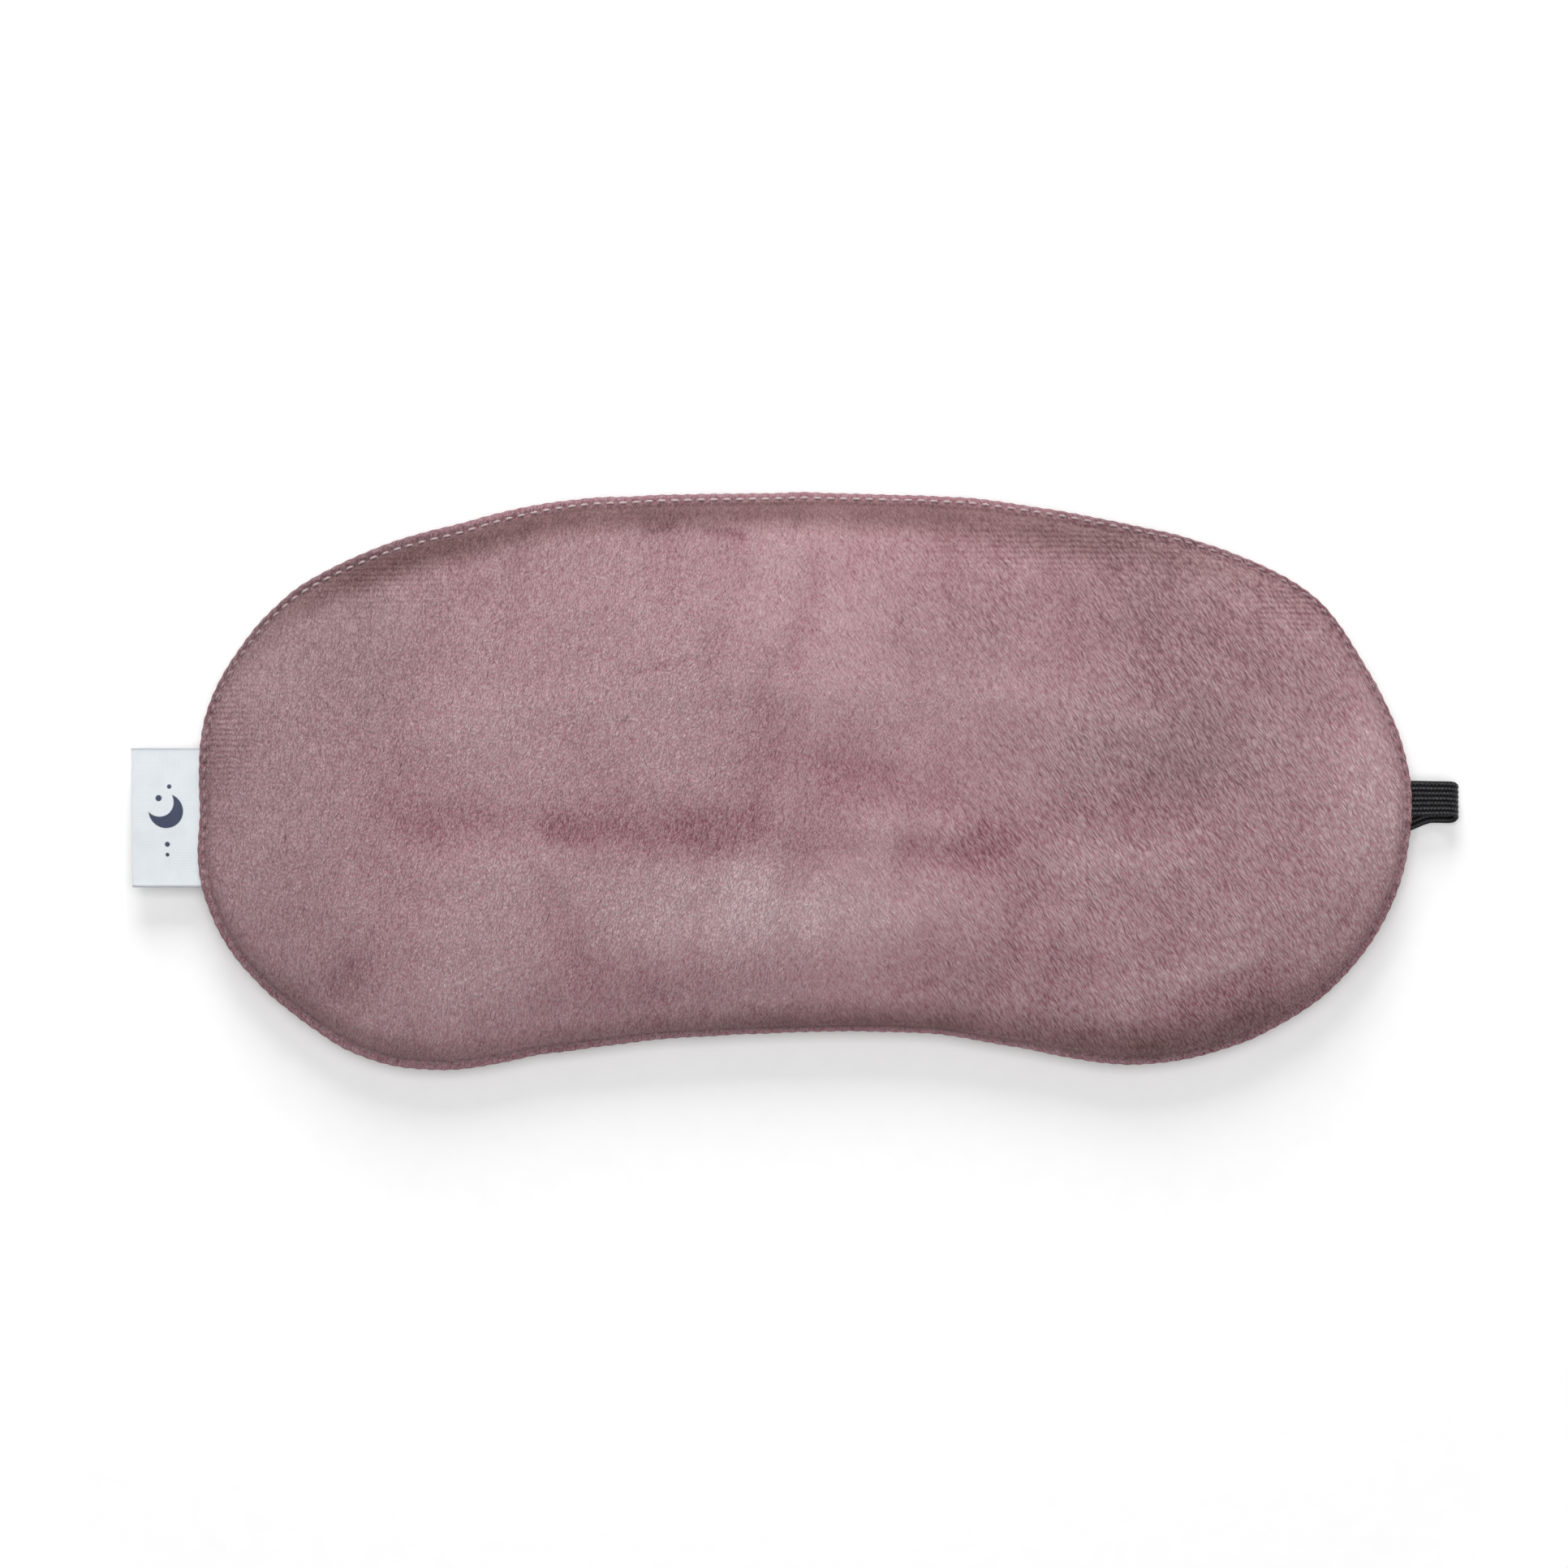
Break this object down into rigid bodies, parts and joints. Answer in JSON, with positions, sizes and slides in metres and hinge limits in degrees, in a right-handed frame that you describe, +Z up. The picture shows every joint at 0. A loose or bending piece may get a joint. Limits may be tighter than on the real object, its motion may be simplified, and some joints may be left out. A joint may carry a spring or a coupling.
{
  "type": "eye pillow",
  "caption": "Soft plush eye pillow shaped to the brow and nose, seed filled, with a side label tab and a flat elastic head strap.",
  "frame": {"origin": "on the surface that the pillow lies on, under the middle of the pillow and its label together, the strap left out", "axes": "+X from the label end to the strap-loop end, +Y from the nose notch to the brow edge, +Z up out of the front panel"},
  "size_m": [0.2305, 0.1001, 0.016],
  "materials": {
    "plush_front": "dusty-rose short-pile plush",
    "plush_back": "dusty-rose short-pile plush",
    "pouch_cotton": "plain-woven unbleached cotton",
    "pouch_thread": "matte spun polyester thread",
    "seed": "loose brown flax seed",
    "stitch_thread": "pale pink spun polyester thread",
    "label_ribbon": "smooth satin-woven ribbon",
    "strap_elastic": "black ribbed braided elastic"
  },
  "bodies": {
    "left_half": {"front_panel_left": "plush_front", "back_panel_left": "plush_back", "pouch_front_left": "pouch_cotton", "pouch_back_left": "pouch_cotton", "pouch_thread_left": "pouch_thread", "seed_fill_left": "seed", "topstitch_thread_left": "stitch_thread", "bobbin_thread_left": "stitch_thread", "label_tail": "label_ribbon", "strap_left": "strap_elastic"},
    "right_half": {"front_panel_right": "plush_front", "back_panel_right": "plush_back", "pouch_front_right": "pouch_cotton", "pouch_back_right": "pouch_cotton", "pouch_thread_right": "pouch_thread", "seed_fill_right": "seed", "topstitch_thread_right": "stitch_thread", "bobbin_thread_right": "stitch_thread", "strap_right": "strap_elastic"},
    "label": {"label": "label_ribbon"}
  },
  "joints": [
    {"name": "nose_bridge_fold", "type": "hinge", "parent": "left_half", "child": "right_half", "pos_m": [0.006, 0, 0.0165], "axis": [0, 1, 0], "range_deg": [-170, 0]},
    {"name": "label_flap", "type": "hinge", "parent": "left_half", "child": "label", "pos_m": [-0.09975, -0.00625, 0.00535], "axis": [0, 1, 0], "range_deg": [0, 100]}
  ]
}
